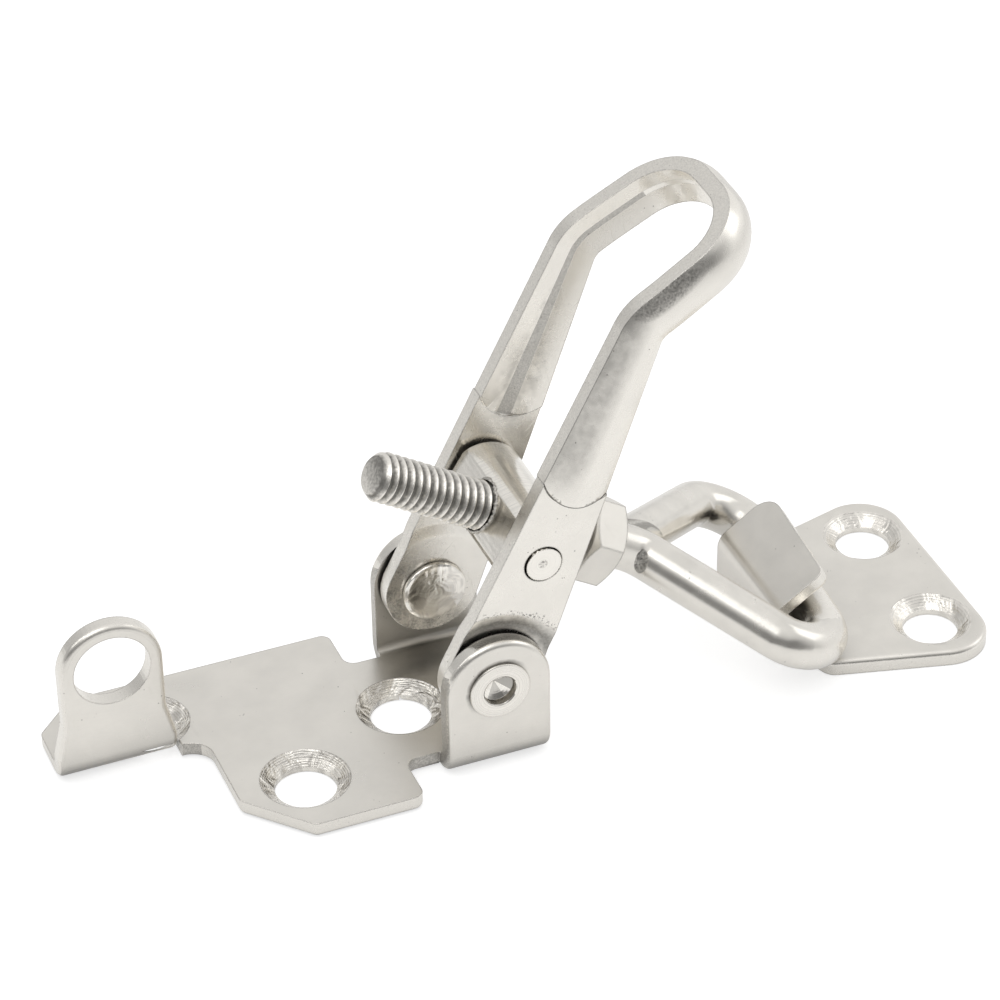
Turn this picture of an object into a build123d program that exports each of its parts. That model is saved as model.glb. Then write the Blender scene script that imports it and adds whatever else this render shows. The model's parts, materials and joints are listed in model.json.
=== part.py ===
"""Adjustable over centre toggle latch: eared base, strap lever, threaded loop bolt and hooked keeper.

Frame: origin on the base's underside, straight below the lever's pivot axis and midway between the ears.
+X runs towards the keeper, +Y across the latch, +Z up. The lever stands open, the loop is on the hook.
"""

from build123d import *

import os
from math import cos, radians, sin, tan

# ---------------------------------------------------------------- driving dimensions, mm and degrees
SHEET = 2.0                      # sheet thickness of base, lever and keeper
EDGE_ROLL = 0.7                  # blanked edges are rolled over on the folds' outer side, sharp inside
BEND_OUT = 3.0                   # outer radius of the sheet bends
BEND_IN = BEND_OUT - SHEET
FIT = 0.05                       # radial clearance of pins and threads that turn or slide
SEAT = 0.02                      # radial clearance of pieces that sit tight in one body

# base plate
WIDE_Y = 16.45                   # half width of the wide part
WIDE_X0 = -48.4                  # left end
WIDE_X1 = -10.8                  # right end of the wide part, where the neck starts
LEFT_EDGE_X = -30.8              # near part of the left edge, beside the tab
NEAR_CHAMFER = (6.6, 7.35)       # near left corner cut, along X and Y
FAR_CHAMFER = 4.9                # far left corner cut
CORNER_ROUND = 1.2
NOTCH_ROUND = 1.5                # inner corners between wide part and neck
LEFT_ROUND = 2.85                # inner corner beside the tab
SCREW_HOLES = [(-22.5, -8.2), (-7.6, 0.0), (-36.4, 8.8)]
SCREW_R = 3.65
SINK_R = 5.3                     # countersink rim
SINK_DEPTH = 1.3

# ears and pivot
EAR_HALF_X = 6.5
EAR_OUT_Y = 12.8
NECK_Y = EAR_OUT_Y - BEND_OUT    # half width of the neck, up to the ears' bends
PIVOT_Z = 11.4
SHANK_R = 2.5
CLINCH_R = 3.7                   # flat ring outside the ear
CLINCH_PROUD = 0.35
CLINCH_HOLE_R = 1.85
CLINCH_HOLE_DEPTH = 1.7
HEAD_R = 3.95                    # dished head inside the lever disc
HEAD_HEIGHT = 1.0

# padlock tab
TAB_X = -41.15
TAB_NEAR_Y = 3.66
TAB_EYE_Z = 14.9
TAB_R = 6.2
TAB_FOOT_FLARE = 1.05            # each side, down at the bend
TAB_FLARE_Z = (3.6, 8.0)
TAB_SIDE_Y = 3.2                 # edge of the wide part beside the tab
TAB_SLIT = 0.2                   # the tab's bend is cut free of the wide part by this
EYE_R = 4.6

# lever
LEVER_ANGLE = 66.35              # leg above +X
LEG_IN_Y = 8.7                   # inner face of the flat legs
DISC_R = 5.95
DISC_STEP = 0.4                  # the discs are set inwards by this to clear the ears
JOGGLE_R = (7.5, 9.0)            # the step runs between these distances from the pivot
JOGGLE_ROUND = 1.2
CRANK_U = 47.4                   # along the leg from the pivot
CRANK_ANGLE = 36.75
CRANK_BEND_R = 5.0
STRAP_HALF = 2.8                 # half width of the strap from the crank on
BARREL_U = 16.0
CROWN_U = 24.0                   # the crowned part starts here
CROWN_END_R = 5.3                # round lower end of the crowned part
STRAP_Y = 9.45                   # middle of the strap's edges, crowned part
CROWN_HEIGHT = 0.9
GROOVE_DEPTH = 0.65
GROOVE_HALF_LOW = 0.95
GROOVE_HALF_TOP = 0.35
TIP_LENGTH = 15.5                # crank to the far end of the finger bend, along the middle of the sheet
TIP_CONVERGE = 4.0               # the legs lean together by this much each, beyond the crank
TIP_LEAN_R = 40.0
TIP_BEND_R = 7.2

# barrel
BARREL_R = 4.95
BARREL_HALF = 8.2
BARREL_PIN_R = 2.3
BARREL_PIN_SUNK = 0.2            # pins end this far inside the legs' faces, and are chamfered by it
BARREL_FLAT = 4.0                # milled flat from the axis, facing the rod's free end

# loop bolt, lengths along the rod counted from the barrel's axis
ROD_SLOPE = 31.6                 # down towards +X
THREAD_R = 2.97
THREAD_CHAMFER = 0.8
WIRE_R = 2.84
ROD_FREE = 19.3
THREAD_END = 14.1
ROD_BEND = 19.1                  # where the near arm leaves the rod's line
LOOP_ROLL = 2.8                  # the bolt stands turned in its thread by this
LOOP_SLOPE = 27.2
LOOP_LENGTH = 23.1               # rod bend to cross bar
LOOP_HALF = 14.35
LOOP_SHOULDER = 7.75             # straight part of the arms before the cross bar
SHOULDER_ROUND = 4.1
LOOP_ROUND = 6.0                 # corners of the cross bar
ARM_ROUND = 4.0                  # bend from the rod into the near arm
FAR_ARM_SHIFT = 2.8              # the far arm aims at the rod this much nearer the nut
WELD_LINE = 2.4                  # the far arm's end is cut flat this far from the rod's axis

# jam nut
NUT_AF = 10.0
NUT_THICK = 4.6
NUT_START = 9.4
NUT_TURN = 12.7
NUT_CHAMFER = 30.0               # corner chamfer, from the nut's faces
NUT_CROWN = 0.3                  # the flat ring's rim is inside the flats by this

# keeper
HOOK_HALF = 8.2
RISER_X = 37.2                   # outer face of the riser
HOOK_TOP_Z = 8.15                # sharp outer corner of riser and lip
LIP_SLOPE = 34.0
LIP_LENGTH = (7.5, 8.5)          # near end and far end
LIP_ROUND = (1.2, 2.6)
KEEPER_END_X = 63.8
KEEPER_END_Y = 18.05             # sharp corner before rounding
KEEPER_ROUND = 5.5
KEEPER_WAIST = (42.6, 12.4)
KEEPER_CORNER = 0.8              # straight run between the riser's bend and the waist
KEEPER_HOLE_X = 57.7
KEEPER_HOLE_Y = 9.3
KEEPER_HOLE_R = 3.35
KEEPER_SINK_R = 5.0


# ---------------------------------------------------------------- frames of the moving pieces
def lever_frame():
    """Origin on the pivot, +X along the leg, +Z towards the back of the lever."""
    return Pos(0, 0, PIVOT_Z) * Rot(0, -LEVER_ANGLE, 0)


def rod_frame():
    """Origin on the barrel's axis, +X along the rod towards the loop."""
    return Pos(*barrel_centre()) * Rot(0, ROD_SLOPE, 0)


def barrel_centre():
    a = radians(LEVER_ANGLE)
    return BARREL_U * cos(a), 0.0, PIVOT_Z + BARREL_U * sin(a)


# ---------------------------------------------------------------- helpers
def rounded_face(corners):
    """Face from (x, y, corner radius) triples."""
    points = [(x, y) for x, y, _ in corners]
    radii = [r for _, _, r in corners]
    return make_face(FilletPolyline(*points, radius=radii, close=True))


def side_prism(face, y0, y1):
    """Face drawn in X and Z, given as X and Y, pushed from y0 to y1."""
    plane = Plane(origin=(0, y1, 0), x_dir=(1, 0, 0), z_dir=(0, -1, 0))
    return extrude(plane * face, y1 - y0)


def cylinder_y(x, z, r, y0, y1):
    return Pos(x, (y0 + y1) / 2, z) * Rot(90, 0, 0) * Cylinder(r, y1 - y0)


def countersunk_hole(x, y, hole_r, rim_r, depth):
    """Through hole with a cone from the top face of the sheet."""
    low = (Align.CENTER, Align.CENTER, Align.MAX)
    return Pos(x, y, SHEET) * (Cone(hole_r, rim_r, depth, align=low) + Cylinder(hole_r, 2 * SHEET, align=low))


def along(edge, axis):
    """True for a straight edge parallel to the axis."""
    return edge.geom_type == GeomType.LINE and abs(abs((edge % 0.5).dot(axis)) - 1) < 1e-4


def across_sheet(edge):
    """True for a straight edge through the sheet's thickness."""
    return edge.geom_type == GeomType.LINE and abs(edge.length - SHEET) < 0.02


def rolled_edges(solid, chosen):
    return fillet([edge for edge in solid.edges() if chosen(edge)], EDGE_ROLL)


def both_sides(solid):
    return solid + mirror(solid, about=Plane.XZ)


# ---------------------------------------------------------------- base plate
def base_blank():
    """Wide part and neck, flat, with rounded corners."""
    slit_x = TAB_X + TAB_R + TAB_FOOT_FLARE + TAB_SLIT
    tab_bend = TAB_NEAR_Y + BEND_OUT
    corners = [
        (WIDE_X1, -WIDE_Y, CORNER_ROUND),
        (WIDE_X1, -NECK_Y, NOTCH_ROUND),
        (-EAR_HALF_X, -NECK_Y, 0),
        (-EAR_HALF_X, NECK_Y, 0),
        (WIDE_X1, NECK_Y, NOTCH_ROUND),
        (WIDE_X1, WIDE_Y, CORNER_ROUND),
        (WIDE_X0 + FAR_CHAMFER, WIDE_Y, CORNER_ROUND),
        (WIDE_X0, WIDE_Y - FAR_CHAMFER, CORNER_ROUND),
        (WIDE_X0, tab_bend, 0),
        (slit_x, tab_bend, 0),
        (slit_x, TAB_SIDE_Y, 0),
        (LEFT_EDGE_X, TAB_SIDE_Y, LEFT_ROUND),
        (LEFT_EDGE_X, NEAR_CHAMFER[1] - WIDE_Y, CORNER_ROUND),
        (LEFT_EDGE_X + NEAR_CHAMFER[0], -WIDE_Y, CORNER_ROUND),
    ]
    blank = extrude(rounded_face(corners), SHEET)

    def free(edge):
        spot = edge.center()
        in_slit = abs(spot.X - slit_x) < 0.01 or abs(spot.Y - tab_bend) < 0.01
        return not (in_slit or abs(spot.X + EAR_HALF_X) < 0.01)

    return rolled_edges(blank, lambda edge: free(edge) and edge.center().Z < 0.01)


def ear_channel():
    """The two ears with their bends, cut to the rounded ear outline."""
    top = PIVOT_Z + EAR_HALF_X
    section = rounded_face([
        (-EAR_OUT_Y, top, 0), (-EAR_OUT_Y, 0, BEND_OUT), (EAR_OUT_Y, 0, BEND_OUT), (EAR_OUT_Y, top, 0),
        (EAR_OUT_Y - SHEET, top, 0), (EAR_OUT_Y - SHEET, SHEET, BEND_IN),
        (SHEET - EAR_OUT_Y, SHEET, BEND_IN), (SHEET - EAR_OUT_Y, top, 0),
    ])
    plane = Plane(origin=(-EAR_HALF_X, 0, 0), x_dir=(0, 1, 0), z_dir=(1, 0, 0))
    channel = extrude(plane * section, 2 * EAR_HALF_X)
    outline = Pos(0, PIVOT_Z) * Circle(EAR_HALF_X) + Pos(0, PIVOT_Z / 2) * Rectangle(2 * EAR_HALF_X, PIVOT_Z)
    channel &= side_prism(outline, -2 * EAR_OUT_Y, 2 * EAR_OUT_Y)
    inner_y = EAR_OUT_Y - SHEET

    def free(edge):
        spot = edge.center()
        at_neck = abs(spot.X + EAR_HALF_X) < 0.01 and abs(spot.Y) < NECK_Y
        return not (at_neck or across_sheet(edge) or along(edge, Vector(1, 0, 0)))

    def outer_side(edge):
        spot = edge.center()
        return free(edge) and (abs(spot.Y) > inner_y + 0.5 or spot.Z < SHEET / 2)

    channel = rolled_edges(channel, outer_side)
    return channel - cylinder_y(0, PIVOT_Z, SHANK_R + SEAT, -2 * EAR_OUT_Y, 2 * EAR_OUT_Y)


def tab_outline():
    """Front view of the tab, its foot slightly spread."""
    half = TAB_R + TAB_FOOT_FLARE
    flare_low, flare_top = TAB_FLARE_Z
    right = [(half, 0), (half, flare_low), (TAB_R, flare_top), (TAB_R, TAB_EYE_Z)]
    left = [(-x, z) for x, z in reversed(right)]
    foot = make_face(Polyline(*right, *left, close=True))
    return Pos(TAB_X, 0) * (foot + Pos(0, TAB_EYE_Z) * Circle(TAB_R))


def padlock_tab():
    """The tab with its bend, cut to its outline, and its eye."""
    top = TAB_EYE_Z + TAB_R
    half = TAB_R + TAB_FOOT_FLARE
    back = TAB_NEAR_Y + SHEET
    flat_end = TAB_NEAR_Y + BEND_OUT
    section = rounded_face([
        (TAB_NEAR_Y, top, 0), (TAB_NEAR_Y, 0, BEND_OUT), (flat_end, 0, 0),
        (flat_end, SHEET, 0), (back, SHEET, BEND_IN * 0.999), (back, top, 0),
    ])
    plane = Plane(origin=(TAB_X - half, 0, 0), x_dir=(0, 1, 0), z_dir=(1, 0, 0))
    tab = extrude(plane * section, 2 * half)
    tab &= side_prism(tab_outline(), 0, 2 * flat_end)

    def free(edge):
        return not (across_sheet(edge) or along(edge, Vector(1, 0, 0)))

    def outer_side(edge):
        spot = edge.center()
        return free(edge) and (spot.Y < TAB_NEAR_Y + SHEET / 2 or spot.Z < SHEET / 2)

    tab = rolled_edges(tab, outer_side)
    return tab - cylinder_y(TAB_X, TAB_EYE_Z, EYE_R, 0, 2 * back)


def base_plate():
    base = base_blank() + ear_channel() + padlock_tab()
    for x, y in SCREW_HOLES:
        base -= countersunk_hole(x, y, SCREW_R, SINK_R, SINK_DEPTH)
    return base


# ---------------------------------------------------------------- rivets
def pivot_rivet(side):
    """Semi-tubular rivet, revolved: clinched ring outside, domed head inside the lever disc."""
    disc_in = LEG_IN_Y - DISC_STEP
    head = disc_in - FIT
    ring_out = EAR_OUT_Y + CLINCH_PROUD
    drill_tip = CLINCH_HOLE_R * tan(radians(31))
    profile = Polyline(
        (0, head - HEAD_HEIGHT + 0.25), (1.2, head - HEAD_HEIGHT), (HEAD_R - 0.7, head - HEAD_HEIGHT + 0.2),
        (HEAD_R, head - 0.35), (HEAD_R, head), (SHANK_R, head), (SHANK_R, EAR_OUT_Y),
        (CLINCH_R, EAR_OUT_Y), (CLINCH_R, ring_out - 0.15), (CLINCH_R - 0.2, ring_out),
        (CLINCH_HOLE_R, ring_out), (CLINCH_HOLE_R, ring_out - CLINCH_HOLE_DEPTH),
        (0, ring_out - CLINCH_HOLE_DEPTH - drill_tip), close=True)
    plane = Plane(origin=(0, 0, PIVOT_Z), x_dir=(1, 0, 0), z_dir=(0, 0, 1))
    rivet = revolve(plane * make_face(profile), Axis((0, 0, PIVOT_Z), (0, 1, 0)))
    return rivet if side > 0 else mirror(rivet, about=Plane.XZ)


# ---------------------------------------------------------------- lever
def leg_outline():
    """Disc and tapered leg up to the crank, drawn in the lever frame."""
    slope = (DISC_R - STRAP_HALF) / CRANK_U
    rise = (1 - slope * slope) ** 0.5
    low = (DISC_R * slope, DISC_R * rise)
    high = (CRANK_U, STRAP_HALF)
    taper = make_face(Polyline(low, high, (high[0], -high[1]), (low[0], -low[1]), close=True))
    return taper + Circle(DISC_R)


def strap_section(half_width, groove_half):
    """Crowned strap: arched outside, grooved inside; X is outwards, Y across the strap."""
    edge = SHEET / 2
    outside = ThreePointArc((edge, -half_width), (edge + CROWN_HEIGHT, 0), (edge, half_width))
    floor = GROOVE_DEPTH - edge
    inside = Polyline((edge, half_width), (-edge, half_width), (floor, groove_half),
                      (floor, -groove_half), (-edge, -half_width), (edge, -half_width))
    return make_face(outside + inside)


def section_at(point, heading, half_width, groove_half):
    """Strap section set up across a heading given in degrees below the leg's line."""
    a = radians(heading)
    plane = Plane(origin=point, x_dir=(0, 1, 0), z_dir=(cos(a), 0, -sin(a)))
    return plane * strap_section(half_width, groove_half)


def crowned_leg():
    """Tapered crowned strap from its round lower end to the start of the crank."""
    crank_run = CRANK_BEND_R * tan(radians(CRANK_ANGLE / 2))
    low_u = CROWN_U - 0.5
    low_half = DISC_R - (DISC_R - STRAP_HALF) * low_u / CRANK_U
    low = section_at((low_u, STRAP_Y, 0), 0, low_half, GROOVE_HALF_LOW)
    high = section_at((CRANK_U - crank_run, STRAP_Y, 0), 0, STRAP_HALF, GROOVE_HALF_TOP)
    leg = loft([low, high], ruled=True)
    axis = Axis((CRANK_U - crank_run, 0, -CRANK_BEND_R), (0, 1, 0))
    crank = revolve(high, axis, CRANK_ANGLE)
    return leg, crank


def crown_region():
    """Everything above the round lower end of the crowned part."""
    above = Pos(CRANK_U / 2, 0) * Rectangle(CRANK_U, 2 * CROWN_END_R)
    outline = Pos(CROWN_U + CROWN_END_R, 0) * (Circle(CROWN_END_R) + above)
    return side_prism(outline, 0, 2 * EAR_OUT_Y)


def joggled_sheet():
    """Sheet turned about the pivot axis: the middle set inwards, a soft step, then the flat legs' level."""
    r0, r1 = JOGGLE_R
    low, high = LEG_IN_Y - DISC_STEP, LEG_IN_Y
    profile = rounded_face([
        (0, low, 0), (r0, low, JOGGLE_ROUND), (r1, high, JOGGLE_ROUND), (CRANK_U, high, 0),
        (CRANK_U, high + SHEET, 0), (r1, high + SHEET, JOGGLE_ROUND), (r0, low + SHEET, JOGGLE_ROUND),
        (0, low + SHEET, 0),
    ])
    return revolve(profile, Axis.Y)


def flat_leg():
    """Flat lower leg with the disc set inwards, barrel hole and pivot hole."""
    leg = joggled_sheet() & side_prism(leg_outline(), 0, 2 * EAR_OUT_Y)
    leg -= crown_region()
    leg -= cylinder_y(0, 0, SHANK_R + FIT, 0, 2 * EAR_OUT_Y)
    return leg - cylinder_y(BARREL_U, 0, BARREL_PIN_R + FIT, 0, 2 * EAR_OUT_Y)


def finger_bend():
    """Half of the round end: the section swept along the middle of the sheet up to the centre plane."""
    crank_run = CRANK_BEND_R * tan(radians(CRANK_ANGLE / 2))
    start = (0, STRAP_Y)
    lean = JernArc(start, (1, 0), TIP_LEAN_R, -TIP_CONVERGE)
    lean_end = lean @ 1
    turn = 90 - TIP_CONVERGE
    end_x = TIP_LENGTH - crank_run
    c = radians(TIP_CONVERGE)
    bend_x = end_x - TIP_BEND_R * (1 - sin(c))
    run = Line(lean_end, (bend_x, lean_end.Y - (bend_x - lean_end.X) * tan(c)))
    bend = JernArc(run @ 1, run % 1, TIP_BEND_R, -turn)
    close = Line(bend @ 1, ((bend @ 1).X, 0))
    path = Wire([lean.edge(), run.edge(), bend.edge(), close.edge()])
    return path


def lever_handle():
    leg, crank = crowned_leg()
    crowned = (leg & crown_region()) + crank
    half = flat_leg() + crowned
    a = radians(CRANK_ANGLE)
    crank_run = CRANK_BEND_R * tan(a / 2)
    tip_start = (CRANK_U + crank_run * cos(a), 0, -crank_run * sin(a))
    tip_plane = Plane(origin=tip_start, x_dir=(cos(a), 0, -sin(a)), z_dir=(sin(a), 0, cos(a)))
    path = tip_plane * finger_bend()
    section = section_at((tip_start[0], STRAP_Y, tip_start[2]), CRANK_ANGLE, STRAP_HALF, GROOVE_HALF_TOP)
    half += sweep(section, path)
    return lever_frame() * both_sides(half)


# ---------------------------------------------------------------- barrel
def barrel():
    """Trunnion with reduced pins, threaded cross hole and milled flat."""
    body = cylinder_y(0, 0, BARREL_R, -BARREL_HALF, BARREL_HALF)
    body = chamfer(body.edges().filter_by(GeomType.CIRCLE), 0.4)
    pin_end = LEG_IN_Y + SHEET - BARREL_PIN_SUNK
    pins = cylinder_y(0, 0, BARREL_PIN_R, -pin_end, pin_end)
    body += chamfer(pins.edges().filter_by(GeomType.CIRCLE), BARREL_PIN_SUNK)
    body -= Pos(-BARREL_FLAT, 0, 0) * Box(20, 30, 20, align=(Align.MAX, Align.CENTER, Align.CENTER))
    body -= Rot(0, 90, 0) * Cylinder(THREAD_R + FIT, 30)
    return rod_frame() * body


# ---------------------------------------------------------------- loop bolt
def threaded_rod():
    length = ROD_FREE + THREAD_END
    rod = Rot(0, 90, 0) * Cylinder(THREAD_R, length, align=(Align.CENTER, Align.CENTER, Align.MIN))
    rod = Pos(-ROD_FREE, 0, 0) * rod
    return chamfer(rod.edges().group_by(Axis.X)[0], THREAD_CHAMFER)


def loop_point(x, y):
    """Point of the loop's plane, from the rod's bend, in the rod frame."""
    tilt = radians(ROD_SLOPE - LOOP_SLOPE)
    return ROD_BEND + x * cos(tilt), y, x * sin(tilt)


def wire_along(path):
    return sweep(Plane(origin=path @ 0, z_dir=path % 0) * Circle(WIRE_R), path)


def near_half():
    """Rod end of the wire, the near arm and half of the cross bar."""
    shoulder = LOOP_LENGTH - LOOP_SHOULDER
    path = FilletPolyline(
        (THREAD_END - 0.5, 0, 0), loop_point(0, 0), loop_point(shoulder, -LOOP_HALF),
        loop_point(LOOP_LENGTH, -LOOP_HALF), loop_point(LOOP_LENGTH, 0),
        radius=[ARM_ROUND, SHOULDER_ROUND, LOOP_ROUND])
    return wire_along(path)


def far_half():
    """The other half of the cross bar and the far arm, its end cut flat against the rod."""
    shoulder = LOOP_LENGTH - LOOP_SHOULDER
    path = FilletPolyline(
        loop_point(LOOP_LENGTH, 0), loop_point(LOOP_LENGTH, LOOP_HALF),
        loop_point(shoulder, LOOP_HALF), loop_point(-FAR_ARM_SHIFT, 0),
        radius=[LOOP_ROUND, SHOULDER_ROUND])
    far_side = Pos(0, WELD_LINE, 0) * Box(200, 60, 60, align=(Align.CENTER, Align.MIN, Align.CENTER))
    bar_end = Pos(ROD_BEND + LOOP_LENGTH, 0, 0) * Box(2 * LOOP_ROUND, 60, 60)
    return wire_along(path) & (far_side + bar_end)


def loop_bolt():
    return rod_frame() * Rot(LOOP_ROLL, 0, 0) * (threaded_rod() + near_half() + far_half())


# ---------------------------------------------------------------- jam nut
def jam_nut():
    """Hexagon with its corners chamfered on both faces."""
    nut = extrude(RegularPolygon(NUT_AF / 2, 6, major_radius=False), NUT_THICK)
    corner = NUT_AF / 2 / cos(radians(30))
    rise = (corner - NUT_AF / 2 + NUT_CROWN) * tan(radians(NUT_CHAMFER))
    flank = Cylinder(corner, NUT_THICK - 2 * rise, align=(Align.CENTER, Align.CENTER, Align.MIN))
    cap = Cone(corner, NUT_AF / 2 - NUT_CROWN, rise, align=(Align.CENTER, Align.CENTER, Align.MIN))
    envelope = Pos(0, 0, rise) * (flank + Rot(180, 0, 0) * cap) + Pos(0, 0, NUT_THICK - rise) * cap
    nut &= envelope
    nut -= Cylinder(THREAD_R + FIT, 4 * NUT_THICK)
    return rod_frame() * Pos(NUT_START, 0, 0) * Rot(0, 90, 0) * Rot(0, 0, NUT_TURN) * nut


# ---------------------------------------------------------------- keeper
def keeper_depth(edge):
    """How deep the edge's middle lies under the outer side of the folded strip."""
    a = radians(LIP_SLOPE)
    spot = edge.center()
    under_lip = (spot.X - RISER_X) * sin(a) - (spot.Z - HOOK_TOP_Z) * cos(a)
    return min(spot.Z, spot.X - RISER_X, under_lip)


def hook_strip(plate_x):
    """Riser and lip with their bends, up to the plane where the plate takes over."""
    a = radians(LIP_SLOPE)
    length = max(LIP_LENGTH)
    lip_end = (RISER_X + length * cos(a), HOOK_TOP_Z + length * sin(a))
    lip_in = (lip_end[0] + SHEET * sin(a), lip_end[1] - SHEET * cos(a))
    inner_top = (RISER_X + SHEET, lip_in[1] - (lip_in[0] - RISER_X - SHEET) * tan(a))
    profile = rounded_face([
        (plate_x, 0, 0), (RISER_X, 0, BEND_OUT * 0.999), (RISER_X, HOOK_TOP_Z, BEND_OUT - 0.4),
        (lip_end[0], lip_end[1], 0), (lip_in[0], lip_in[1], 0), (inner_top[0], inner_top[1], BEND_IN - 0.4),
        (RISER_X + SHEET, SHEET, BEND_IN * 0.999), (plate_x, SHEET, 0),
    ])
    lip_plan = rounded_face([
        (-BEND_OUT, -HOOK_HALF, 0), (-BEND_OUT, HOOK_HALF, 0),
        (LIP_LENGTH[1], HOOK_HALF, LIP_ROUND[1]), (LIP_LENGTH[0], -HOOK_HALF, LIP_ROUND[0]),
    ])
    lip_plane = Plane(origin=(RISER_X, 0, HOOK_TOP_Z), x_dir=(cos(a), 0, sin(a)), z_dir=(-sin(a), 0, cos(a)))
    strip = side_prism(profile, -HOOK_HALF, HOOK_HALF)
    upper = extrude(lip_plane * lip_plan, amount=2 * HOOK_TOP_Z, both=True)
    lower = Box(60, 60, HOOK_TOP_Z / 2, align=(Align.CENTER, Align.CENTER, Align.MIN))
    strip &= upper + Pos(RISER_X, 0, 0) * lower

    def free(edge):
        at_plate = abs(edge.center().X - plate_x) < 0.01
        return not (at_plate or across_sheet(edge) or along(edge, Vector(0, 1, 0)))

    return rolled_edges(strip, lambda edge: free(edge) and keeper_depth(edge) > SHEET / 2)


def keeper_plate():
    plate_x = RISER_X + BEND_OUT
    corner_x = plate_x + KEEPER_CORNER
    plan = rounded_face([
        (KEEPER_END_X, -KEEPER_END_Y, KEEPER_ROUND), (KEEPER_END_X, KEEPER_END_Y, KEEPER_ROUND),
        (KEEPER_WAIST[0], KEEPER_WAIST[1], 2.0), (corner_x, HOOK_HALF, 1.0), (plate_x, HOOK_HALF, 0),
        (plate_x, -HOOK_HALF, 0), (corner_x, -HOOK_HALF, 1.0), (KEEPER_WAIST[0], -KEEPER_WAIST[1], 2.0),
    ])
    plate = extrude(plan, SHEET)

    def free(edge):
        return not across_sheet(edge) and abs(edge.center().X - plate_x) > 0.01

    plate = rolled_edges(plate, lambda edge: free(edge) and edge.center().Z > SHEET - 0.01)
    keeper = plate + hook_strip(plate_x)
    for y in (-KEEPER_HOLE_Y, KEEPER_HOLE_Y):
        keeper -= countersunk_hole(KEEPER_HOLE_X, y, KEEPER_HOLE_R, KEEPER_SINK_R, SINK_DEPTH)
    return keeper


# ---------------------------------------------------------------- all nodes
def main():
    os.makedirs("parts", exist_ok=True)
    nodes = {
        "base_plate": base_plate(),
        "pivot_rivet_near": pivot_rivet(-1),
        "pivot_rivet_far": pivot_rivet(1),
        "lever_handle": lever_handle(),
        "barrel": barrel(),
        "loop_bolt": loop_bolt(),
        "jam_nut": jam_nut(),
        "keeper_plate": keeper_plate(),
    }
    for name, shape in nodes.items():
        export_step(shape, f"parts/{name}.step")


main()
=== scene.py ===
"""Finish, light and camera of the over centre toggle latch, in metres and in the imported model's frame."""

import json
import math
import random

import bmesh
import bpy
from mathutils import Matrix, Vector

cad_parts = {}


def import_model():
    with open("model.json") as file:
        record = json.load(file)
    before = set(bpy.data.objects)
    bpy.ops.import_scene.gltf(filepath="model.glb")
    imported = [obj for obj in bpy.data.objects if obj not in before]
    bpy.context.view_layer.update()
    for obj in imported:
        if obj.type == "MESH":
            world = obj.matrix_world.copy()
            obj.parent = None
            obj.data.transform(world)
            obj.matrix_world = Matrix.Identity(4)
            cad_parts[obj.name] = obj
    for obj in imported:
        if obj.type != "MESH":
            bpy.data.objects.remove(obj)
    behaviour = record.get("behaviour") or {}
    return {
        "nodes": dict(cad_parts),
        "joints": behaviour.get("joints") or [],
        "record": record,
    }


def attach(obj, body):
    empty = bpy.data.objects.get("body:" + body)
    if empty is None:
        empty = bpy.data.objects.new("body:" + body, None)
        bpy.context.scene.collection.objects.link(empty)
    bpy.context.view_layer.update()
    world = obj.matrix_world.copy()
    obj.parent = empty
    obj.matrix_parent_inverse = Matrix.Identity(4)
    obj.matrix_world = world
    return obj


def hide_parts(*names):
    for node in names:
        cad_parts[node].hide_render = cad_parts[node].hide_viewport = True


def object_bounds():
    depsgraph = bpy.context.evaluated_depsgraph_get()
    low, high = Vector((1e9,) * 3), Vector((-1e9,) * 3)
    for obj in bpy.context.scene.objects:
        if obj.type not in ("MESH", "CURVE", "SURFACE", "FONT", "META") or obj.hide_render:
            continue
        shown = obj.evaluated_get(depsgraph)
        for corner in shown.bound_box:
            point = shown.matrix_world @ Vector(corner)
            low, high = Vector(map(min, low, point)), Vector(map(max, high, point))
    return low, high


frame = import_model()
CAD_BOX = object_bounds()

MM = 0.001
JOINTS = {joint["name"]: joint for joint in frame["joints"]}
MOUNTS = {mount["name"]: mount for mount in frame["record"]["mounts"]}

# ------------ places read from the frame
BARREL_AT = Vector(JOINTS["barrel_pivot"]["pos_m"])
PIVOT_AT = Vector(JOINTS["lever_hinge"]["pos_m"])
AHEAD, ACROSS, UPWARD = Vector((1, 0, 0)), Vector((0, 1, 0)), Vector((0, 0, 1))
ROD_WAY = Vector(JOINTS["bolt_adjust"]["axis"]).normalized()
ROD_UP = ROD_WAY.cross(ACROSS)
LEG_WAY = (BARREL_AT - PIVOT_AT).normalized()
STRAP_WAY = ACROSS.cross(LEG_WAY)            # across the leg's width

# ------------ base and keeper sheets
SHEET_TOP = 2.05 * MM            # just over the flat sheets' upper face
SINK_REACH = 5.45 * MM           # countersinks, from the hole's axis
EARS_REACH = 6.6 * MM            # half the ears' length along the latch
EAR_FACE = 12.8 * MM             # outer faces of the ears, from the middle
TAB_FROM = -33.8 * MM            # the padlock tab lies behind this
TAB_SIDES = (3.4 * MM, 6.8 * MM)
BENDS_BELOW = 6.0 * MM           # ears and tab are still bending below this
NECK_NOTCH = ((-12.0 * MM, -6.0 * MM), (9.0 * MM, 13.5 * MM))      # along the latch and across it
TAB_NOTCH = ((-36.0 * MM, -30.9 * MM), (2.4 * MM, 3.4 * MM))
HOOK_BEND = 40.2 * MM            # the keeper's hook starts before this
HOOK_LIP = 11.2 * MM             # and its end edge lies above this

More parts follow.
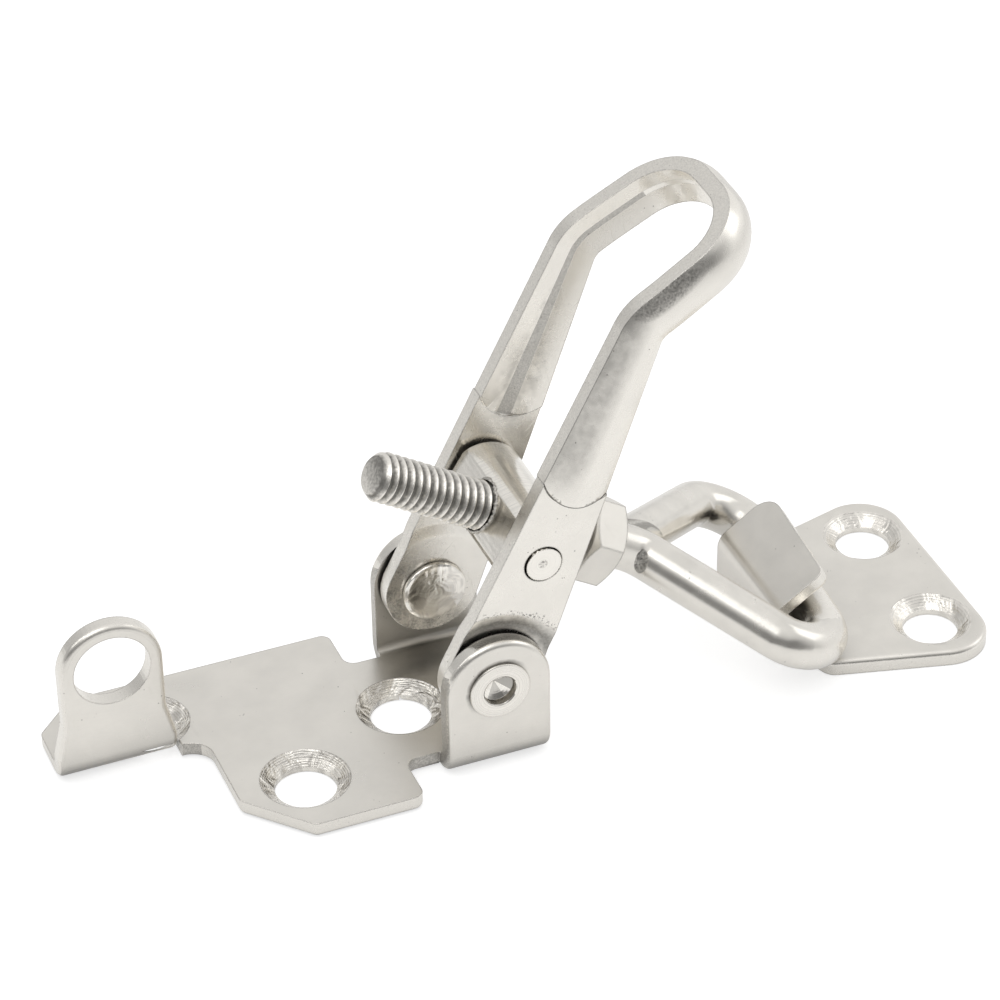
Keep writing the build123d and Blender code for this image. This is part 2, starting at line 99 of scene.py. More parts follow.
# ------------ lever
CRANK_AT = 47.0 * MM             # along the leg from the pivot
TIP_TURN = math.radians(36.75)   # how far the crank turns the finger end
EDGE_TURN = math.radians(18.4)   # half way between the leg's and the finger end's edges
DISC_REACH = 16.0 * MM           # flat part with the disc, from the pivot
GROOVE_FROM = 26.0 * MM          # the pressed groove, along the leg from the pivot
GROOVE_TO = 30.0 * MM            # and its end, along the latch
PIN_BORE = 2.6 * MM              # bores of the strap, with a little room
PIVOT_BORE = 2.8 * MM
CREASE_STEP = 0.15               # change of normal that makes a crease of the groove
CREASE_ALONG = 0.8               # and the share of it along the strap's width
EDGE_FACING = 0.75               # a cut edge looks along the strap's width by more than this
RIM_ASIDE = 0.3                  # and round the disc, across the latch by less than this
GROOVE_FACING = 0.99             # the groove's floor looks across the latch by more than this
OUTER_SIDE = (9.6 * MM, 9.9 * MM)              # outer faces of the legs, fading in over this
INNER_SIDE = (9.3 * MM, 9.0 * MM)              # and the inner ones
CROWN_FROM = 29.3 * MM           # centre of the crown's round end, along the leg from the pivot
CROWN_ROUND = 5.3 * MM
SCUFF_AT = Vector((21.4, -10.8, 58.5)) * MM    # scuff on the near strap, at its crank
SCUFF_ALONG = Vector((0.865, 0.0, 0.50))
SCUFF_HALF = (5.4 * MM, 1.25 * MM)
SMUDGES = (                      # along the leg from the pivot, half length and half width
    (28.5 * MM, (6.5 * MM, 2.4 * MM)),
    (37.0 * MM, (4.0 * MM, 1.2 * MM)))
SHADED_RUBBED_ARC = (6.6 * MM, 8.5 * MM)              # painted shade on a rubbed arc, round the pivot, outside
SPECK_ROW = (8.9 * MM, 9.5 * MM)
RUBBED_DISC = (4.2 * MM, 6.6 * MM)             # round the pivot, inside
CLEAN_SIDE = Vector((0.85, 0.0, 0.53))         # where that disc isn't rubbed
SHADED_FLANK = (27.0 * MM, 50.0 * MM)            # painted shade on a flank of the crown, along the leg from the pivot

# ------------ thread, loop, barrel and rivets
THREAD_PITCH = 1.09 * MM
THREAD_OUTER = 2.97 * MM         # radii of its crests and roots
THREAD_ROOT = 2.42 * MM
THREAD_FREE = 19.3 * MM          # free end, back from the barrel's axis
THREAD_STOP = 14.1 * MM          # where the thread runs out, on the loop's side
THREAD_CHAMFER = 0.8 * MM
CREST_FLAT, CREST_ROUND = 0.10, 0.12           # shares of half a turn
FLANK_RISE, ROOT_ROUND = 1.3, 0.16             # depth per half turn, and the blend at the root
THREAD_ROWS = 535
THREAD_SIDES = 65
MARK_AT = Vector((21.9, -3.3, 16.7)) * MM      # weld mark on the loop's near arm
MARK_ALONG = Vector((0.30, 0.20, 0.93))
MARK_OUT = Vector((-0.3, -0.9, 0.3))
MARK_HALF = (1.55 * MM, 0.80 * MM)
MARK_DEEP = 3.0 * MM
BARREL_FLAT = 3.98 * MM          # milled flat, from the barrel's axis
BURR_FOOT = 3.04 * MM            # burr on that flat, from the rod's axis
BURR_CREST = 3.08 * MM
BURR_TALL = (0.10 * MM, 0.30 * MM)             # least, and how much more by chance
BURR_WIDE = (0.12 * MM, 0.28 * MM)
BURR_POINTS = 90
PIN_FACE = 10.66 * MM            # near pin's end, from the middle
PIN_END = 10.0 * MM              # the part that is moved lies beyond this
PIN_SHARE = 0.95                 # its thickness, as a share of the CAD pin's
PIN_OFF = (0.14 * MM, -0.18 * MM)              # how far it stands off the hole's middle
PUNCH_MARK = 0.74 * MM           # radius of the punch mark on it
RIVET_RING = 3.7 * MM            # clinched ring outside the ear
RING_SHADOW_WAY = Vector((-0.55, 0.0, 0.83))        # side of the ring on which the painted shadow lies
RIVET_SIDES = 96
RIVET_PROFILE = (                # finish, then (radius, distance from the middle) in mm
    ("drill point", (0, 10.88), (1.95, 12.05)),
    ("shaded drilled wall", (1.97, 13.0)),
    ("formed rivet head", (2.10, 13.12)),
    ("clinched rivet ring", (2.22, 13.15), (3.45, 13.15), (3.60, 13.11), (3.68, 13.02), (3.70, 12.90),
     (3.70, 12.79), (2.50, 12.75)),
    ("formed rivet head", (2.50, 8.25), (3.80, 8.25), (3.92, 8.12), (3.95, 7.75), (3.88, 7.58),
     (3.66, 7.46), (3.20, 7.39), (2.40, 7.33), (1.20, 7.28), (0, 7.26)))

# ------------ finish
EDGE_WEAR = 0.19 * MM            # tumbled radius of sharp edges
NUT_WEAR = 0.35 * MM
TURNED_WEAR = 0.10 * MM
SHEET_SMOOTH, RIVET_SMOOTH = 14, 25            # degrees; an edge that turns more stays sharp
THREAD_SMOOTH, BURR_SMOOTH = 40, 50
MERGE = 0.002 * MM               # points nearer than this are one
FACING = 0.6                     # a face looks along an axis when its normal has more than this of it
ASIDE = 0.5                      # and aside when it has less than this
LYING = 0.98                     # and lies flat when it has more than this of UPWARD
PIT, TORN_PIT = 0.16, 0.20       # tones, from black 0 to white 1
# tones of the dark marks on the sheets (rubs, with painted shade), and of the painted shade in gaps and
# enclosed places
RUB_AND_SHADE_TONE, PAINTED_SHADE_TONE = 0.13, 0.12
# painted highlight along worn edges and the painted dark line beside it; the dark tone also marks burrs on
# cut edges
EDGE_SHADE_AND_BURR, PAINTED_EDGE_HIGHLIGHT = 0.16, 0.96

# ------------ floor, surround and lamps, 1 is white
CAMERA_LIFT = 0.67               # added to the floor's lit colour for the camera
MIRROR_LIFT = (0.40, 0.22)       # and for polished metal, near the latch and far from it
FLOOR_HALF = 6.0                 # metres
FLOOR_GAP = 0.1 * MM             # under the latch
POOL_MIDDLE = (0.01, 0.0, 0.0)
POOL = (0.05, 0.28)              # painted pool of light in mirror rays: where near ends and far begins, metres from that middle
SURROUND_RIGHT, SURROUND_FRONT = 110, -160     # azimuths in degrees
SURROUND = {"left": 0.46, "right": 0.84, "back": 0.12, "front": 0.24, "over": 0.86}
LAMP_DISTANCE = 0.85
LAMPS = (                        # name, azimuth and elevation in degrees, width, height, brightness
    ("front overhead box", -134, 66, 0.55, 0.55, 1.08),
    ("right box", 98, 32, 0.45, 0.45, 0.68),
    ("left strip", -75, 40, 0.20, 0.50, 1.2))

# ------------ camera
CAMERA_AT = Vector((-132.0, -348.83, 297.07)) * MM
CAMERA_AZIMUTH = math.radians(21.51)
CAMERA_TILT = math.radians(35.64)
CAMERA_ROLL = math.radians(-0.97)
CAMERA_LENS = 144.0              # mm, both
CAMERA_SENSOR = 36.0


# ------------ small node helpers
class Nodes:
    """Short hand for building the node tree of a material or a world."""

    def __init__(self, owner, output):
        owner.use_nodes = True
        self.owner = owner
        self.tree = owner.node_tree
        self.tree.nodes.clear()
        self.output = self.add(output)

    def add(self, kind, **settings):
        node = self.tree.nodes.new(kind)
        for key, value in settings.items():
            setattr(node, key, value)
        return node

    def link(self, source, target):
        self.tree.links.new(source, target)

    def set(self, socket, value):
        if isinstance(value, bpy.types.NodeSocket):
            self.link(value, socket)
        else:
            socket.default_value = value

    def math(self, operation, a, b=0.0, c=0.0, clamp=False):
        node = self.add("ShaderNodeMath", operation=operation, use_clamp=clamp)
        for socket, value in zip(node.inputs, (a, b, c)):
            self.set(socket, value)
        return node.outputs[0]

    def chain(self, operation, values):
        """One operation over two or more values in turn."""
        result = values[0]
        for value in values[1:]:
            result = self.math(operation, result, value)
        return result

    def times(self, *values):
        return self.chain("MULTIPLY", values)

    def plus(self, *values):
        return self.chain("ADD", values)

    def less(self, *values):
        return self.chain("SUBTRACT", values)

    def most(self, *values):
        return self.chain("MAXIMUM", values)

    def squares(self, *values):
        return self.plus(*[self.times(value, value) for value in values])

    def vector_math(self, operation, a, b=(0, 0, 0)):
        node = self.add("ShaderNodeVectorMath", operation=operation)
        self.set(node.inputs[0], a)
        self.set(node.inputs[1], b)
        return node.outputs["Value" if operation in ("LENGTH", "DOT_PRODUCT") else "Vector"]

    def dot(self, a, b):
        return self.vector_math("DOT_PRODUCT", a, b)

    def place(self):
        return self.add("ShaderNodeTexCoord").outputs["Object"]

    def place_from(self, centre):
        return self.vector_math("SUBTRACT", self.place(), centre)

    def apart(self, vector):
        """A vector's three parts."""
        node = self.add("ShaderNodeSeparateXYZ")
        self.link(vector, node.inputs[0])
        return node.outputs

    def joined(self, *parts):
        node = self.add("ShaderNodeCombineXYZ")
        for socket, part in zip(node.inputs, parts):
            self.link(part, socket)
        return node.outputs[0]

    def stretched(self, ways, scales):
        """Coordinates in local axes given by three directions, each with its own scale."""
        place = self.place()
        return self.joined(*[self.times(self.dot(place, way), scale) for way, scale in zip(ways, scales)])

    def noise(self, vector, scale, detail=3.0, roughness=0.55, distortion=0.0):
        """Noise with about scale features to the metre of its vector."""
        node = self.add("ShaderNodeTexNoise")
        self.link(vector, node.inputs["Vector"])
        node.inputs["Scale"].default_value = scale
        node.inputs["Detail"].default_value = detail
        node.inputs["Roughness"].default_value = roughness
        node.inputs["Distortion"].default_value = distortion
        return node.outputs["Fac"]

    def cells(self, vector, scale):
        node = self.add("ShaderNodeTexVoronoi")
        self.link(vector, node.inputs["Vector"])
        node.inputs["Scale"].default_value = scale
        return node.outputs["Distance"]

    def ramp(self, value, low, high, out_low=0.0, out_high=1.0):
        node = self.add("ShaderNodeMapRange", clamp=True)
        for socket, number in zip(node.inputs, (value, low, high, out_low, out_high)):
            self.set(socket, number)
        return node.outputs[0]

    def spread(self, value, low=0.0, high=1.0):
        """The middle stretch of a noise, where nearly all of it lies, spread from low to high."""
        return self.ramp(value, 0.3, 0.7, low, high)

    def band(self, value, low, high, soft):
        """1 between low and high, fading out over soft."""
        above = self.ramp(value, low - soft, low + soft)
        below = self.ramp(value, high + soft, high - soft)
        return self.times(above, below)

    def mix_colour(self, factor, a, b):
        node = self.add("ShaderNodeMix", data_type="RGBA")
        self.set(node.inputs[0], factor)
        self.set(node.inputs[6], a)
        self.set(node.inputs[7], b)
        return node.outputs[2]

    def bump(self, height, distance, normal=None):
        node = self.add("ShaderNodeBump")
        node.inputs["Strength"].default_value = 1.0
        node.inputs["Distance"].default_value = distance
        self.link(height, node.inputs["Height"])
        if normal is not None:
            self.link(normal, node.inputs["Normal"])
        return node.outputs[0]

    def worn_edges(self, radius=EDGE_WEAR):
        node = self.add("ShaderNodeBevel", samples=6)
        node.inputs["Radius"].default_value = radius
        return node.outputs[0]

    def rim(self, wear_and_light):
        """1 on a worn edge, 0 on a face."""
        true = self.add("ShaderNodeNewGeometry").outputs["Normal"]
        return self.ramp(self.dot(wear_and_light, true), 0.997, 0.86)

    def painted_edge_lines(self, polish_and_glint, tint):
        """Painted highlight along a worn edge with a thin painted dark reflection beside it."""
        line = self.times(self.ramp(polish_and_glint, 0.01, 0.06), self.ramp(polish_and_glint, 0.62, 0.40))
        tint = self.mix_colour(self.times(line, 0.8), tint, steel(EDGE_SHADE_AND_BURR))
        return self.mix_colour(self.times(self.ramp(polish_and_glint, 0.35, 0.70), 0.85), tint, steel(PAINTED_EDGE_HIGHLIGHT))

    def hidden(self, distance, open_sky, closed):
        """0 in the open, up to 1 where surfaces within the distance shut it in."""
        node = self.add("ShaderNodeAmbientOcclusion", samples=8)
        node.inputs["Distance"].default_value = distance
        return self.ramp(node.outputs["AO"], open_sky, closed)

    def metal(self, colour, roughness, normal, gap_shade=0.6, shade=0.34):
        """Metal with painted shade in its gaps and corners, and painted shade between the ears and under
        the straps.
        """
        shader = self.add("ShaderNodeBsdfPrincipled")
        shader.inputs["Metallic"].default_value = 1.0
        # painted shade: the colour darkens where ambient occlusion finds gaps and corners, and where the
        # parts shut it in
        gaps = self.hidden(0.8 * MM, 0.62, 0.12)
        enclosed = self.hidden(11.0 * MM, 0.80, 0.30)
        painted_shade = self.math("MULTIPLY_ADD", enclosed, shade, self.times(gaps, gap_shade), clamp=True)
        self.set(shader.inputs["Base Color"], self.mix_colour(painted_shade, colour, steel(PAINTED_SHADE_TONE)))
        self.set(shader.inputs["Roughness"], roughness)
        self.link(normal, shader.inputs["Normal"])
        self.link(shader.outputs[0], self.output.inputs["Surface"])
        return self.owner


def new_material(name):
    return Nodes(bpy.data.materials.new(name), "ShaderNodeOutputMaterial")


def grey(level):
    return (level, level, level, 1.0)


def steel(level, tint=0.0):
    """Stainless steel's faintly warm grey; tint pulls it towards pink or, below nought, green."""
    return (level * (1.035 + tint), level * (1.0 - tint / 2), level * (0.932 + tint / 2), 1.0)


# ------------ steel finishes
# In each finish, heights are shares of the bump's distance, and what sinks is taken away.
def scratches(n, axes, seed):
    """Sparse fine scratches in two crossing directions, 1 on a scratch."""
    along, across, out = axes
    found = []
    for k, turn in enumerate((0.35, -0.6)):
        ways = (along * math.cos(turn) + across * math.sin(turn),
                across * math.cos(turn) - along * math.sin(turn), out)
        lines = n.noise(n.stretched(ways, (90.0, 5200.0, 300.0)), 1.0 + 0.13 * (seed + k), detail=1.0)
        found.append(n.ramp(lines, 0.72, 0.76))
    return n.most(*found)


def pits(n, seed, share):
    """Tiny scattered pits, 1 in a pit."""
    place = n.vector_math("ADD", n.place(), (0.011 * seed, 0.007 * seed, 0.003 * seed))
    near = n.cells(place, 1500.0)
    where = n.noise(place, 420.0, detail=1.0)
    return n.times(n.ramp(near, 0.16, 0.08), n.ramp(where, 1.0 - share, 1.04 - share))


def satin_sheet(name, axes, tone, rough, seed, edge=EDGE_WEAR, marks=None, shade=0.34):
    """Satin polished sheet: fine directional grain, soft clouding, scratches and a few pits."""
    n = new_material(name)
    grain = n.noise(n.stretched(axes, (900.0, 16000.0, 4000.0)), 1.0, detail=4.0, roughness=0.7)
    cloud = n.noise(n.place(), 160.0 + 9 * seed, detail=3.0)
    mottle = n.noise(n.place(), 1400.0, detail=4.0, roughness=0.65)
    lines = scratches(n, axes, seed)
    holes = pits(n, seed, 0.36)
    tint = n.mix_colour(n.ramp(cloud, 0.35, 0.65), steel(tone * 0.955), steel(tone * 1.03))
    tint = n.mix_colour(n.spread(grain, 0.0, 0.12), tint, steel(tone * 0.82))
    tint = n.mix_colour(n.times(holes, 0.7), tint, steel(PIT))
    clouded = n.spread(cloud, rough - 0.045, rough + 0.045)
    shine = n.plus(clouded, n.spread(mottle, -0.03, 0.03), n.times(lines, 0.10))
    height = n.plus(n.times(grain, 0.35), n.times(mottle, 0.6))
    height = n.less(height, n.times(lines, 0.8), n.times(holes, 3.0))
    wear_and_light = n.worn_edges(edge)
    polish_and_glint = n.rim(wear_and_light)
    # painted highlight and painted dark line along the worn edges
    tint = n.painted_edge_lines(polish_and_glint, tint)
    shine = n.math("MULTIPLY_ADD", polish_and_glint, -0.08, shine)
    if marks:
        dark, rough_there, sunk = marks(n)
        # dark marks: rubs, with painted shade and painted shadow among them
        tint = n.mix_colour(dark, tint, steel(RUB_AND_SHADE_TONE))
        shine = n.plus(shine, rough_there)
        height = n.less(height, sunk)
    return n.metal(tint, shine, n.bump(height, 0.0045 * MM, wear_and_light), gap_shade=0.4, shade=shade)


def sheared_edge(name, tone, seed, torn=1.0):
    """Blanked sheet edge, tumbled bright: fine torn grain and small pits."""
    n = new_material(name)
    grains = n.noise(n.place(), 5200.0 + 40 * seed, detail=4.0, roughness=0.7)
    lumps = n.noise(n.place(), 900.0, detail=3.0)
    holes = n.times(pits(n, seed + 3, 0.50), torn)
    tint = n.mix_colour(n.ramp(grains, 0.38, 0.62, 0.5 - 0.5 * torn, 0.5 + 0.5 * torn),
                        steel(tone * (0.94 - 0.34 * torn)), steel(tone * 1.05))
    tint = n.mix_colour(n.times(holes, 0.8), tint, steel(TORN_PIT))
    shine = n.spread(lumps, 0.16 + 0.16 * torn, 0.24 + 0.22 * torn)
    height = n.plus(n.times(grains, 1.3 * torn), n.times(lumps, 0.6 + 0.4 * torn))
    height = n.less(height, n.times(holes, 2.0))
    wear_and_light = n.worn_edges()
    polish_and_glint = n.rim(wear_and_light)
    # painted highlight and painted dark line along the worn edges, then the real broken burr line
    tint = n.painted_edge_lines(polish_and_glint, tint)
    broken = n.times(polish_and_glint, n.ramp(n.noise(n.place(), 1900.0, detail=2.0), 0.56, 0.62))
    tint = n.mix_colour(n.times(broken, 0.8 * torn), tint, steel(EDGE_SHADE_AND_BURR))
    return n.metal(tint, shine, n.bump(height, 0.016 * MM, wear_and_light), shade=0.22)


def turned(name, centre, axis, tone, rough, pitch, depth, punch=0.0, reflection_patches=0.0, sectors=0):
    """Machined surface with rings round an axis; pitch and depth of the rings are lengths."""
    n = new_material(name)
    off = n.place_from(centre)
    along = n.dot(off, axis)
    radius = n.math("SQRT", n.most(n.less(n.dot(off, off), n.times(along, along)), 0.0))
    wobble = n.times(n.noise(n.place(), 500.0), 0.12 * MM)
    rings = n.math("SINE", n.times(n.math("DIVIDE", n.plus(radius, wobble), pitch), 2 * math.pi))
    streaks = n.noise(ring_place(n, radius, along), 1.0, detail=3.0)
    chatter = n.noise(n.place(), 800.0, detail=3.0)
    tint = n.mix_colour(n.spread(streaks), steel(tone * 0.88), steel(tone * 1.06))
    shine = n.spread(chatter, rough - 0.05, rough + 0.07)
    height = n.plus(n.times(rings, 0.25), n.times(streaks, 1.3), n.times(chatter, 0.8))
    if punch:
        inside = n.ramp(n.plus(radius, n.times(chatter, 0.2 * MM)), punch, punch * 0.6)
        torn = n.ramp(n.noise(n.place(), 3400.0, detail=3.0), 0.46, 0.58, 0.12, 0.80)
        tint = n.mix_colour(n.times(inside, torn), tint, steel(0.14))
        height = n.less(height, n.times(inside, 8.0))
    if sectors:
        # painted reflections of the drill point's facets
        tint = n.mix_colour(n.times(painted_facet_sectors(n, off, sectors), 0.8), tint, steel(0.34))
    # painted reflections: dark patches that stand for mottled reflections, over a real bump of the same
    # patches
    if reflection_patches:
        patches = n.noise(n.place(), 330.0, detail=2.0, distortion=1.2)
        tint = n.mix_colour(n.times(n.ramp(patches, 0.47, 0.56), reflection_patches), tint, steel(0.30, 0.02))
        height = n.plus(height, n.times(patches, 14.0))
    return n.metal(tint, shine, n.bump(height, depth, n.worn_edges(TURNED_WEAR)), shade=0.12)


def ring_place(n, radius, along):
    """Coordinates that are the same all round the axis, for the streaks that a cutter leaves."""
    return n.joined(n.times(radius, 9000.0), n.times(along, 9000.0))


def painted_facet_sectors(n, off, sectors):
    """Painted reflections of a drill point's facets: each sector round the axis is dark or bright by
    chance.
    """
    parts = n.apart(off)
    turn = n.math("ARCTAN2", parts[0], parts[2])
    which = n.math("FLOOR", n.math("MULTIPLY_ADD", turn, sectors / (2 * math.pi), 0.3))
    chance = n.add("ShaderNodeTexWhiteNoise", noise_dimensions="1D")
    n.link(which, chance.inputs["W"])
    return n.ramp(chance.outputs["Value"], 0.35, 0.65)


# ------------ marks on the sheets
def round_from(n, centre):
    """Distance from an axis across the latch through centre."""
    return n.vector_math("LENGTH", n.vector_math("MULTIPLY", n.place_from(centre), (1, 0, 1)))


def oval(n, centre, along, halves, soft):
    """1 inside an oval lying in the side view, fading out towards its rim."""
    off = n.place_from(centre)
    long = n.math("DIVIDE", n.dot(off, along), halves[0])
    wide = n.math("DIVIDE", n.dot(off, ACROSS.cross(along)), halves[1])
    return n.ramp(n.squares(long, wide), 1.0 + soft, 1.0 - soft)


class LegSides:
    """What the marks on the lever share: which side of a leg a point is on, and two noises."""

    def __init__(self, n):
        y = n.apart(n.place())[1]
        side = n.math("ABSOLUTE", y)
        self.outer = n.ramp(side, *OUTER_SIDE)
        self.inner = n.ramp(side, *INNER_SIDE)
        self.near = n.ramp(y, 1.0 * MM, -1.0 * MM)
        self.grains = n.noise(n.place(), 3400.0, detail=3.0, roughness=0.7)
        self.soft = n.noise(n.place(), 700.0, detail=2.0)
        self.ragged = n.ramp(self.grains, 0.35, 0.65)


def pivot_shade_and_rubs(n, sides):
    """Rubbed arc in painted shade and pits that the ear rubbed into the outer face, and the dark rubbed
    disc on the inner one.
    """
    radius = n.plus(round_from(n, PIVOT_AT), n.spread(sides.soft, -0.25 * MM, 0.25 * MM))
    arc = n.times(n.band(radius, *SHADED_RUBBED_ARC, 0.7 * MM), sides.outer)
    row = n.times(n.band(radius, *SPECK_ROW, 0.2 * MM), sides.outer)
    specks = n.times(row, n.ramp(sides.grains, 0.56, 0.62))
    disc = n.times(n.band(radius, *RUBBED_DISC, 0.7 * MM), sides.inner,
                   n.ramp(n.plus(sides.grains, sides.soft), 0.85, 1.25))
    away = n.dot(n.place_from(PIVOT_AT), CLEAN_SIDE)
    return arc, specks, n.times(disc, n.ramp(away, 2.5 * MM, -2.0 * MM))


def crown_outline(n, sides):
    """Fine sunk line round the lower end of the crowned part, darkened with painted shade."""
    centre = PIVOT_AT + LEG_WAY * CROWN_FROM
    below = n.ramp(n.dot(n.place_from(centre), LEG_WAY), 1.0 * MM, 0.0)
    line = n.band(round_from(n, centre), CROWN_ROUND - 0.09 * MM, CROWN_ROUND + 0.06 * MM, 0.04 * MM)
    return n.times(line, below, sides.outer)


def groove_smudges(n, sides):
    """Two dull smudges inside the legs, in the pressed groove."""
    found = [n.times(oval(n, PIVOT_AT + LEG_WAY * up, LEG_WAY, halves, 0.8), sides.inner)
             for up, halves in SMUDGES]
    return n.times(n.most(*found), n.ramp(sides.soft, 0.35, 0.65))


def flank_shade(n, sides):
    """Painted shade on one flank of the crown."""
    off = n.place_from(PIVOT_AT)
    flank = n.ramp(n.dot(off, STRAP_WAY), 0.6 * MM, -1.4 * MM)
    on_crown = n.band(n.dot(off, LEG_WAY), *SHADED_FLANK, 2.5 * MM)
    return n.times(flank, on_crown, sides.outer, n.spread(sides.soft, 0.6, 1.0))


def lever_marks(n):
    """Darkness, added roughness and depth of all the marks on the lever, painted shade among them."""
    sides = LegSides(n)
    arc, specks, disc = pivot_shade_and_rubs(n, sides)
    outline = crown_outline(n, sides)
    scuff = n.times(oval(n, SCUFF_AT, SCUFF_ALONG, SCUFF_HALF, 0.55), sides.outer, sides.near)
    # arc, outline and flank are painted shade; scuff, specks, disc and smudges are rubs and dirt
    dark = n.most(n.times(arc, n.math("MULTIPLY_ADD", sides.ragged, 0.2, 0.62)),
                  n.times(scuff, n.math("MULTIPLY_ADD", sides.ragged, 0.5, 0.22)),
                  n.times(specks, 0.7), n.times(disc, 0.62), n.times(outline, 0.8),
                  n.times(groove_smudges(n, sides), 0.36), n.times(flank_shade(n, sides), 0.50))
    rubbed = n.times(n.most(scuff, disc, arc), n.times(sides.grains, 3.0))
    sunk = n.plus(n.times(outline, 12.0), n.times(specks, 6.0), rubbed)
    return dark, n.times(n.most(arc, scuff), 0.10), sunk


def base_ring_shadows(n):
    """Painted shadow: a dark crescent above each ring, outside the ears, over a shallow sunk groove."""
    side = n.math("ABSOLUTE", n.apart(n.place())[1])
    outside = n.ramp(side, EAR_FACE - 0.4 * MM, EAR_FACE - 0.2 * MM)
    wobble = n.spread(n.noise(n.place(), 900.0, detail=2.0), -0.1 * MM, 0.1 * MM)
    radius = n.plus(round_from(n, PIVOT_AT), wobble)
    above = n.dot(n.place_from(PIVOT_AT), RING_SHADOW_WAY)
    crescent = n.times(n.ramp(radius, RIVET_RING + 0.55 * MM, RIVET_RING + 0.05 * MM), outside,
                       n.ramp(above, -0.6 * MM, 2.2 * MM))
    return n.times(crescent, 0.80), n.times(crescent, 0.05), n.times(crescent, 8.0)


# ------------ wire and thread
def press_mark(n):
    """1 inside the oval mark that the welding electrode leaves, ragged at its rim."""
    off = n.place_from(MARK_AT)
    ways = (MARK_ALONG, MARK_ALONG.cross(MARK_OUT).normalized(), MARK_OUT.normalized())
    halves = (*MARK_HALF, MARK_DEEP)
    square = n.squares(*[n.math("DIVIDE", n.dot(off, way), half) for way, half in zip(ways, halves)])
    ragged = n.plus(square, n.spread(n.noise(n.place(), 2600.0), -0.12, 0.12))
    return n.ramp(ragged, 1.05, 0.85)


def drawn_wire(name, axes, tone, rough, seed):
    """Bright drawn wire: long drawing lines, soft clouds, small pits, shallow dents and one weld mark."""
    n = new_material(name)
    draw = n.noise(n.stretched(axes, (260.0, 7000.0, 7000.0)), 1.0, detail=4.0, roughness=0.7)
    cloud = n.noise(n.place(), 230.0, detail=3.0)
    dents = n.noise(n.place(), 560.0 + 20 * seed, detail=2.0, roughness=0.5)
    holes = pits(n, seed + 6, 0.38)
    tint = n.mix_colour(n.ramp(cloud, 0.35, 0.65), steel(tone * 0.94), steel(tone * 1.04))
    tint = n.mix_colour(n.times(holes, 0.75), tint, steel(TORN_PIT))
    shine = n.spread(cloud, rough - 0.05, rough + 0.06)
    height = n.plus(n.times(draw, 0.3), n.times(dents, 1.6))
    height = n.less(height, n.times(holes, 1.5))
    mark = press_mark(n)
    grains = n.noise(n.place(), 3800.0, detail=3.0, roughness=0.7)
    burnt = n.mix_colour(n.ramp(grains, 0.38, 0.6), steel(0.10), steel(0.55))
    tint = n.mix_colour(n.times(mark, 0.92), tint, burnt)
    shine = n.math("MULTIPLY_ADD", mark, 0.25, shine)
    height = n.plus(height, n.times(mark, n.math("MULTIPLY_ADD", grains, 9.0, -6.0)))
    return n.metal(tint, shine, n.bump(height, 0.008 * MM))


def rolled_thread(name, tone):
    """Rolled thread: painted highlight on the crests and painted shade in the roots, both broken up by fine
    grain.
    """
    n = new_material(name)
    depth = n.add("ShaderNodeAttribute", attribute_name="depth").outputs["Fac"]
    fine = n.noise(n.place(), 2400.0, detail=4.0, roughness=0.7)
    broad = n.noise(n.place(), 500.0, detail=2.0)
    wear_and_light = n.plus(depth, n.spread(fine, -0.28, 0.28))
    # painted highlight on the crests, painted shade in the roots
    tint = n.mix_colour(n.ramp(wear_and_light, 0.1, 0.9), steel(tone * 1.22), steel(tone * 0.36))
    shine = n.plus(n.ramp(wear_and_light, 0.1, 0.9, 0.25, 0.46), n.spread(broad, -0.05, 0.05))
    height = n.plus(n.times(broad, 0.8), fine)
    return n.metal(tint, shine, n.bump(height, 0.016 * MM))


# ------------ making a piece
def even_shading(piece):
    """Flat faces keep flat shading right up to their rounded edges."""
    weighted = piece.modifiers.new("even shading", "WEIGHTED_NORMAL")
    weighted.mode = "FACE_AREA"
    weighted.weight = 50
    weighted.keep_sharp = True


def smooth(mesh, angle):
    """Smooth shading, but for edges where faces meet at more than angle degrees."""
    for polygon in mesh.polygons:
        polygon.use_smooth = True
    mesh.set_sharp_from_angle(angle=math.radians(angle))


def placed(mesh, name, body):
    """Piece that shows the mesh and rides on the body."""
    piece = bpy.data.objects.new(name, mesh)
    bpy.context.scene.collection.objects.link(piece)
    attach(piece, body)
    return piece


def finished_copy(node, name, body):
    """Merged, smooth shaded copy of a CAD node's mesh that stands for it."""
    mesh = frame["nodes"][node].data.copy()
    mesh.name = name
    mesh.materials.clear()
    work = bmesh.new()
    work.from_mesh(mesh)
    bmesh.ops.remove_doubles(work, verts=work.verts, dist=MERGE)
    work.to_mesh(mesh)
    work.free()
    smooth(mesh, SHEET_SMOOTH)
    piece = placed(mesh, name, body)
    even_shading(piece)
    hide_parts(node)
    return piece


def new_piece(name, body, work, materials, angle):
    """Smooth shaded piece from a mesh in hand."""
    bmesh.ops.recalc_face_normals(work, faces=work.faces)
    mesh = bpy.data.meshes.new(name)
    work.to_mesh(mesh)
    work.free()
    smooth(mesh, angle)
    for material in materials:
        mesh.materials.append(material)
    return placed(mesh, name, body)


def paint(piece, materials, choose):
    """Gives every face the material slot that choose(face) names."""
    for material in materials:
        piece.data.materials.append(material)
    for polygon in piece.data.polygons:
        polygon.material_index = choose(polygon)


def within(value, limits):
    return limits[0] < value < limits[1]


# ------------ base and keeper
def in_sink(point, holes):
    """Index of the hole whose countersink the point may lie in, or None."""
    for k, hole in enumerate(holes):
        if math.hypot(point.x - hole.x, point.y - hole.y) < SINK_REACH:
            return k
    return None


